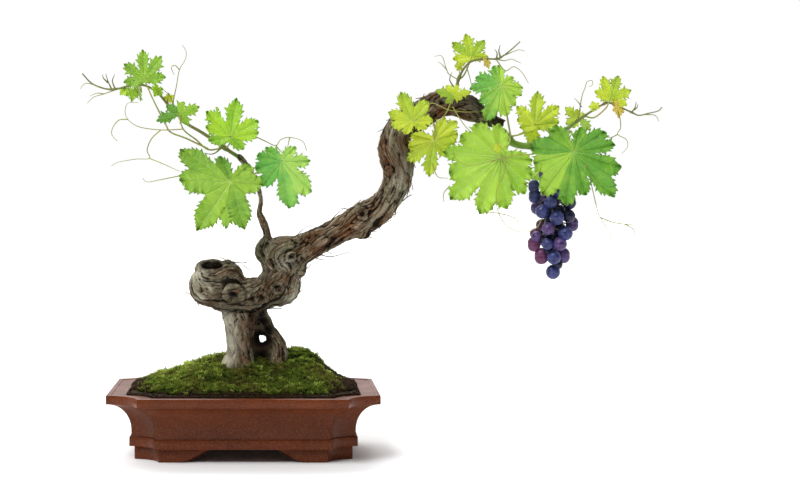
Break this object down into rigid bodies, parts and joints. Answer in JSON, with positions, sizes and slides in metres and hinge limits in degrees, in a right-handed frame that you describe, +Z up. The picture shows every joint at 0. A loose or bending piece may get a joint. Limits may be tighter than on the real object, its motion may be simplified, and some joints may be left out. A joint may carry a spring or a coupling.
{
  "type": "grape bonsai",
  "caption": "Bonsai grape vine with a gnarled trunk, a long bough leaning right, lobed leaves, tendrils and a dark bunch of grapes, in an oblong clay pot with indented corners.",
  "frame": {"origin": "on the ground, below the middle of the whole plant's box", "axes": "+Z up, +X towards the tip of the long bough, -Y is the front"},
  "size_m": [0.7836, 0.256, 0.5632],
  "materials": {
    "pot_clay": "unglazed red-brown clay, faintly satin",
    "soil": "dark loose soil, matt",
    "moss": "short green moss, matt",
    "bark": "weathered stringy bark, matt",
    "green_shoot": "smooth green shoot",
    "leaves": "fresh leaf, satin",
    "grapes": "dark berry skin with bloom"
  },
  "bodies": {
    "root": {"pot": "pot_clay", "foot_front_left": "pot_clay", "foot_front_right": "pot_clay", "foot_back_left": "pot_clay", "foot_back_right": "pot_clay", "soil": "soil", "moss_mound": "moss", "trunk": "bark", "lower_bough": "bark", "upright_bough": "bark", "bough_head": "bark", "left_cane": "bark", "right_shoot": "green_shoot", "left_tip_spray": "leaves", "left_leaf_spray": "leaves", "crown_left_spray": "leaves", "crown_back_spray": "leaves", "crown_top_spray": "leaves", "crown_middle_spray": "leaves", "crown_rear_spray": "leaves", "crown_right_spray": "leaves", "right_tip_spray": "leaves", "right_back_spray": "leaves", "grape_bunch": "grapes"}
  },
  "joints": []
}
